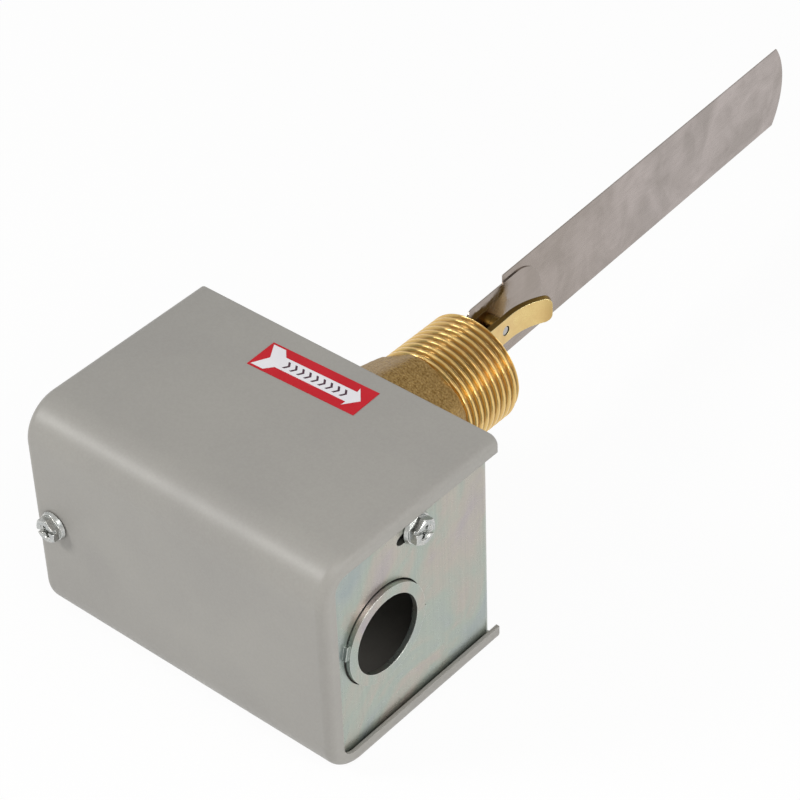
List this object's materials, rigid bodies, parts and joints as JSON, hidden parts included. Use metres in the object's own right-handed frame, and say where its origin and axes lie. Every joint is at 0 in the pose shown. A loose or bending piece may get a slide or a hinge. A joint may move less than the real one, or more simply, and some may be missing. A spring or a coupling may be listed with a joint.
{
  "type": "paddle flow switch",
  "caption": "Paddle flow switch: brass pipe fitting and steel blade that swings with the flow and trips a snap switch in a lift-off grey steel housing.",
  "frame": {"origin": "on the pipe fitting's axis, at the shoulder where its thread begins", "axes": "+Y along the thread towards the paddle's tip, +X the way the water flows and the label's arrow points, +Z out of the labelled side of the cover"},
  "size_m": [0.1019, 0.283, 0.0686],
  "materials": {
    "grey_paint": "satin warm grey paint with a fine texture",
    "zinc_plate": "passivated zinc plating with a faint blue and yellow bloom",
    "zinc_screw": "bright zinc plating",
    "green_screw": "green passivated zinc",
    "fibre_card": "black vulcanised fibre",
    "cast_brass": "cast brass with a turned thread",
    "nut_brass": "machined brass",
    "turned_brass": "turned brass",
    "strip_brass": "rolled brass strip",
    "terminal_brass": "stamped brass",
    "bronze": "thin phosphor bronze",
    "gasket": "moulded nitrile",
    "spring_steel": "oiled spring steel",
    "stainless": "stainless steel",
    "paddle_sheet": "rolled stainless sheet with faint heat tint",
    "phenolic": "moulded phenolic",
    "plunger_red": "moulded nylon",
    "red_label": "printed self-adhesive film, red with white arrows"
  },
  "bodies": {
    "housing": {"chassis": "zinc_plate", "end_screw": "zinc_screw", "ground_screw": "green_screw", "insulating_liner": "fibre_card", "end_nut": "zinc_screw", "fitting": "cast_brass", "seat_gasket": "gasket", "toothed_washer": "spring_steel", "fitting_nut": "nut_brass", "pivot_pin": "stainless", "pivot_clips": "spring_steel", "bellows": "bronze", "mechanism_bracket": "zinc_plate", "bracket_screws": "zinc_screw", "switch_case": "phenolic", "switch_screws": "zinc_screw", "switch_terminals": "terminal_brass", "terminal_screws": "zinc_screw", "rocker_pin": "stainless"},
    "lever": {"lever_hub": "turned_brass", "paddle_arm": "strip_brass", "arm_rivets": "turned_brass", "switch_arm": "spring_steel", "spring_cup": "turned_brass", "short_paddle": "paddle_sheet", "long_paddle": "paddle_sheet", "paddle_spacers": "turned_brass", "paddle_washers": "stainless", "paddle_screws": "stainless"},
    "rocker": {"rocker": "spring_steel"},
    "plunger": {"switch_plunger": "plunger_red"},
    "adjuster": {"range_screw": "zinc_screw"},
    "spring_carrier": {"range_nut": "nut_brass", "range_spring": "spring_steel"},
    "cover": {"cover": "grey_paint", "cover_screw": "zinc_screw", "flow_label": "red_label"}
  },
  "joints": [
    {"name": "paddle_swing", "type": "hinge", "parent": "housing", "child": "lever", "pos_m": [0, -0.037, 0], "axis": [0, 0, -1], "range_deg": [0, 8], "stiffness_Nm_per_rad": 0.6, "springref_deg": -8.59, "deforming": ["range_spring", "bellows"]},
    {"name": "rocker_tilt", "type": "hinge", "parent": "housing", "child": "rocker", "pos_m": [-0.004, -0.082, 0], "axis": [0, 0, 1], "range_deg": [0, 11.5]},
    {"name": "plunger_press", "type": "slide", "parent": "housing", "child": "plunger", "axis": [-1, 0, 0], "range_m": [0, 0.0017]},
    {"name": "range_screw_turn", "type": "hinge", "parent": "housing", "child": "adjuster", "pos_m": [-0.034, -0.053, 0], "axis": [1, 0, 0], "range_deg": [-1801, 1801]},
    {"name": "range_nut_travel", "type": "slide", "parent": "housing", "child": "spring_carrier", "axis": [1, 0, 0], "range_m": [-0.0035, 0.0035], "deforming": ["range_spring"]},
    {"name": "cover_off", "type": "slide", "parent": "housing", "child": "cover", "axis": [0, -1, 0], "range_m": [0, 0.075]}
  ],
  "couplings": [
    {"joint": "rocker_tilt", "follows": "paddle_swing", "ratio": 1.4125},
    {"joint": "plunger_press", "follows": "paddle_swing", "m_per_rad": 0.011817},
    {"joint": "range_screw_turn", "follows": "range_nut_travel", "rad_per_m": 8976}
  ]
}
